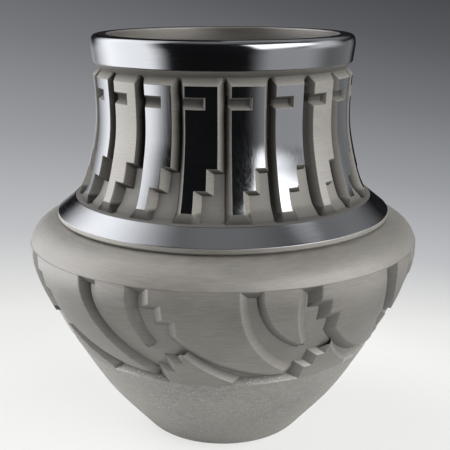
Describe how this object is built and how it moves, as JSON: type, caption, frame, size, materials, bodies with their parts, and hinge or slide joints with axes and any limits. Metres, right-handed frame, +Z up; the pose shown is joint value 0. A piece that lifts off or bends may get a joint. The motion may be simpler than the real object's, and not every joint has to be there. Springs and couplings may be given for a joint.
{
  "type": "carved pottery jar",
  "caption": "Hand-built blackware jar with a polished rim band and neck ring, carved upright neck panels, a sharp keel and a carved matte belly on a plain flat-footed base.",
  "frame": {"origin": "centre of the flat foot, on the plane that the jar stands on", "axes": "+Z up along the jar's axis of revolution, -Y is the front that the picture shows"},
  "size_m": [0.233, 0.233, 0.241],
  "materials": {
    "polished_slip": "stone-burnished smoked clay slip, near-black mirror polish, unglazed",
    "matte_slip": "unpolished smoked clay slip, warm grey, matte, carved and smoothed by hand",
    "sanded_base": "sanded smoked clay, warm grey, matte with fine mica grains"
  },
  "bodies": {
    "root": {"base_bowl": "sanded_base", "belly_wall": "matte_slip", "shoulder_wall": "matte_slip", "shoulder_ring": "polished_slip", "neck_wall": "matte_slip", "rim_band": "polished_slip", "neck_panel_01": "polished_slip", "neck_panel_02": "polished_slip", "neck_panel_03": "matte_slip", "neck_panel_04": "polished_slip", "neck_panel_05": "polished_slip", "neck_panel_06": "polished_slip", "neck_panel_07": "polished_slip", "neck_panel_08": "matte_slip", "neck_panel_09": "polished_slip", "neck_panel_10": "polished_slip", "neck_panel_11": "polished_slip", "neck_panel_12": "polished_slip", "neck_panel_13": "matte_slip", "neck_panel_14": "polished_slip", "neck_panel_15": "polished_slip", "neck_panel_16": "polished_slip", "neck_panel_17": "polished_slip", "neck_panel_18": "matte_slip", "neck_panel_19": "polished_slip", "neck_panel_20": "polished_slip", "belly_wave_01": "matte_slip", "belly_wave_02": "matte_slip", "belly_wave_03": "matte_slip", "belly_wave_04": "matte_slip", "belly_wave_05": "matte_slip", "belly_wave_06": "matte_slip", "belly_wave_07": "matte_slip", "belly_wave_08": "matte_slip", "belly_feather_01": "matte_slip", "belly_feather_02": "matte_slip", "belly_feather_03": "matte_slip", "belly_feather_04": "matte_slip", "belly_feather_05": "matte_slip", "belly_feather_06": "matte_slip", "belly_feather_07": "matte_slip", "belly_feather_08": "matte_slip", "belly_terrace_01": "matte_slip", "belly_terrace_02": "matte_slip", "belly_terrace_03": "matte_slip", "belly_terrace_04": "matte_slip", "belly_terrace_05": "matte_slip", "belly_terrace_06": "matte_slip", "belly_terrace_07": "matte_slip", "belly_terrace_08": "matte_slip"}
  },
  "joints": []
}
